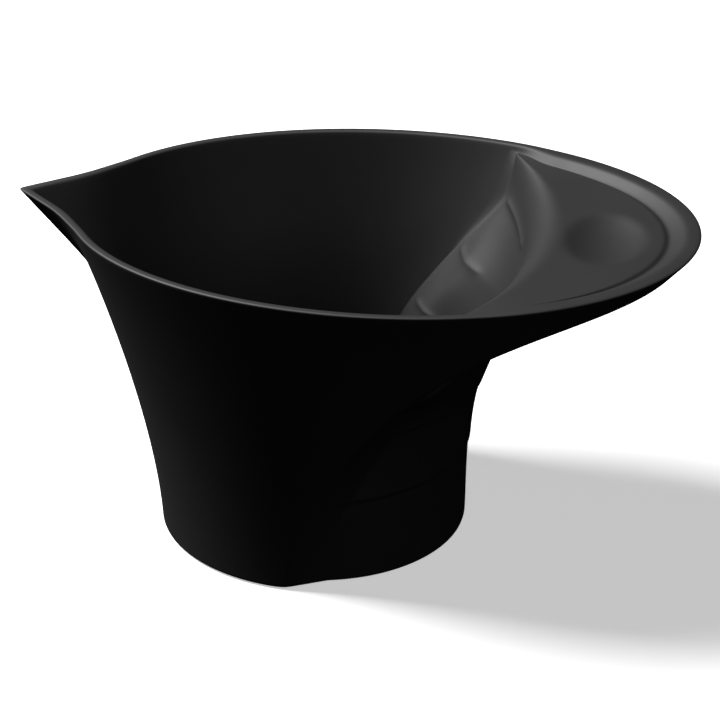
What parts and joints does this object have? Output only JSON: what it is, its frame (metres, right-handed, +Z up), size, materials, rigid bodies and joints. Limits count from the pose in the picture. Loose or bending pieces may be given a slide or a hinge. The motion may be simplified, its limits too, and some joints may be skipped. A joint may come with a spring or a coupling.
{
  "type": "hair color bowl",
  "caption": "One-piece moulded salon tint bowl with pouring spout, thumb platform handle, cut-away grip wall, filling lines and a soft non-slip ring under the floor.",
  "frame": {"origin": "centre of the footprint box on the surface that the bowl stands on", "axes": "+X towards the thumb handle (the spout points to -X), +Z up, mirror-symmetric about the XZ plane"},
  "size_m": [0.168, 0.1128, 0.0827],
  "materials": {
    "bowl_polypropylene": "satin black injection-moulded polypropylene",
    "foot_rubber": "matt black thermoplastic elastomer"
  },
  "bodies": {
    "root": {"bowl_shell": "bowl_polypropylene", "non_slip_foot_ring": "foot_rubber"}
  },
  "joints": []
}
